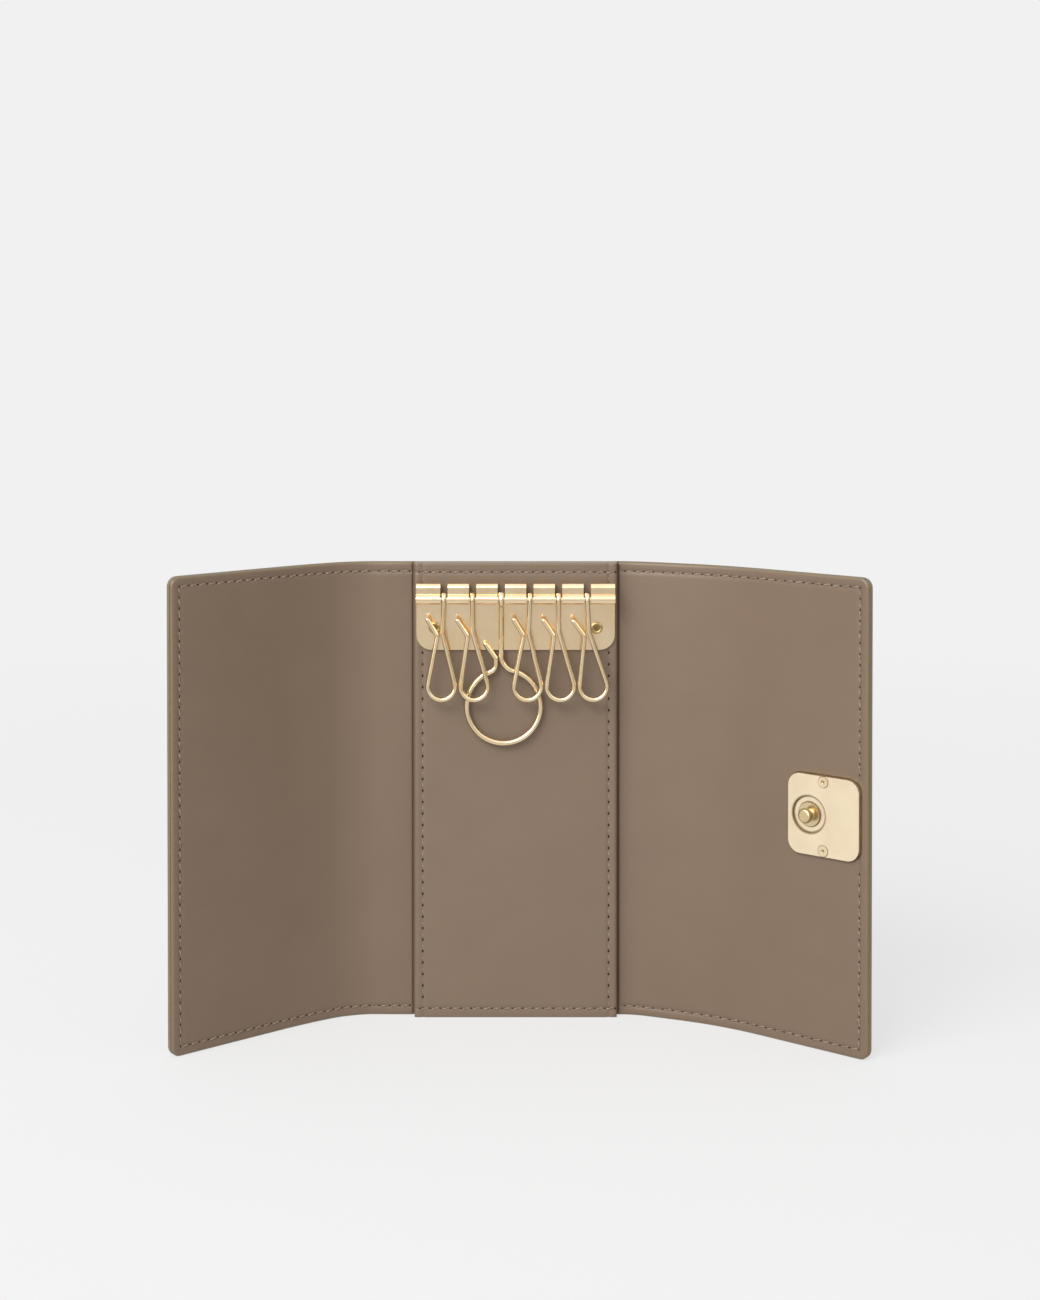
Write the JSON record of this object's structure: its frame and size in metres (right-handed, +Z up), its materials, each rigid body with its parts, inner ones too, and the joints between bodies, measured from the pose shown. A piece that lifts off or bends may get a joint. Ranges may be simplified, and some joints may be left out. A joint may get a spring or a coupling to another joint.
{
  "type": "key case",
  "caption": "Trifold leather key case standing open, with a raised hook panel, a rolled metal frame of swinging wire hooks, and a snap closure.",
  "frame": {"origin": "middle of the lower edge of the spine, half way through its leather", "axes": "+X to the right across the open case, -Y out of the open side towards the hooks, +Z up"},
  "size_m": [0.1584, 0.0349, 0.108],
  "materials": {
    "outer_leather": "smooth, satin, taupe brown",
    "lining_leather": "smooth, satin, taupe brown",
    "board": "matt",
    "gold": "polished, pale gold plating",
    "pale_gold": "polished, pale gold plating"
  },
  "bodies": {
    "spine": {"spine_outer": "outer_leather", "spine_lining": "lining_leather", "hook_panel_cover": "lining_leather", "hook_panel_backing": "outer_leather", "key_frame": "gold", "hook_rod": "gold", "frame_rivets": "pale_gold", "frame_rivet_washers": "gold"},
    "left_side": {"left_side_outer": "outer_leather", "left_side_lining": "lining_leather"},
    "left_flap": {"left_flap_outer": "outer_leather", "left_flap_lining": "lining_leather", "left_flap_board": "board", "snap_socket": "gold", "socket_springs": "pale_gold", "socket_washer": "gold"},
    "right_side": {"right_side_outer": "outer_leather", "right_side_lining": "lining_leather"},
    "right_flap": {"right_flap_outer": "outer_leather", "right_flap_lining": "lining_leather", "right_flap_board": "board", "stud_plate": "gold", "snap_stud": "pale_gold", "stud_plate_rivets": "pale_gold", "stud_washer": "gold"},
    "key_hook_1": {"key_hook_1": "gold"},
    "key_hook_2": {"key_hook_2": "gold"},
    "ring_hook": {"ring_hook": "gold"},
    "key_hook_3": {"key_hook_3": "gold"},
    "key_hook_4": {"key_hook_4": "gold"},
    "key_hook_5": {"key_hook_5": "gold"}
  },
  "joints": [
    {"name": "left_inner_fold", "type": "hinge", "parent": "spine", "child": "left_side", "pos_m": [-0.029, 0, 0.054], "axis": [0, 0, 1], "range_deg": [0, 92]},
    {"name": "left_outer_fold", "type": "hinge", "parent": "left_side", "child": "left_flap", "pos_m": [-0.03849, 0.00033, 0.054], "axis": [0, 0, 1], "range_deg": [-37, 48]},
    {"name": "right_inner_fold", "type": "hinge", "parent": "spine", "child": "right_side", "pos_m": [0.028, 0, 0.054], "axis": [0, 0, -1], "range_deg": [-21.7, 68.3]},
    {"name": "right_outer_fold", "type": "hinge", "parent": "right_side", "child": "right_flap", "pos_m": [0.04089, -0.00513, 0.054], "axis": [0, 0, -1], "range_deg": [-9, 73.5]},
    {"name": "key_hook_1_swing", "type": "hinge", "parent": "spine", "child": "key_hook_1", "pos_m": [0, -0.0059, 0.0997], "axis": [1, 0, 0], "range_deg": [-165, 0]},
    {"name": "key_hook_2_swing", "type": "hinge", "parent": "ring_hook", "child": "key_hook_2", "pos_m": [0, -0.0059, 0.0997], "axis": [1, 0, 0], "range_deg": [-80, 0]},
    {"name": "ring_hook_swing", "type": "hinge", "parent": "spine", "child": "ring_hook", "pos_m": [0, -0.0059, 0.0997], "axis": [1, 0, 0], "range_deg": [-85, 0]},
    {"name": "key_hook_3_swing", "type": "hinge", "parent": "ring_hook", "child": "key_hook_3", "pos_m": [0, -0.0059, 0.0997], "axis": [1, 0, 0], "range_deg": [-80, 0]},
    {"name": "key_hook_4_swing", "type": "hinge", "parent": "spine", "child": "key_hook_4", "pos_m": [0, -0.0059, 0.0997], "axis": [1, 0, 0], "range_deg": [-165, 0]},
    {"name": "key_hook_5_swing", "type": "hinge", "parent": "spine", "child": "key_hook_5", "pos_m": [0, -0.0059, 0.0997], "axis": [1, 0, 0], "range_deg": [-165, 0]}
  ]
}
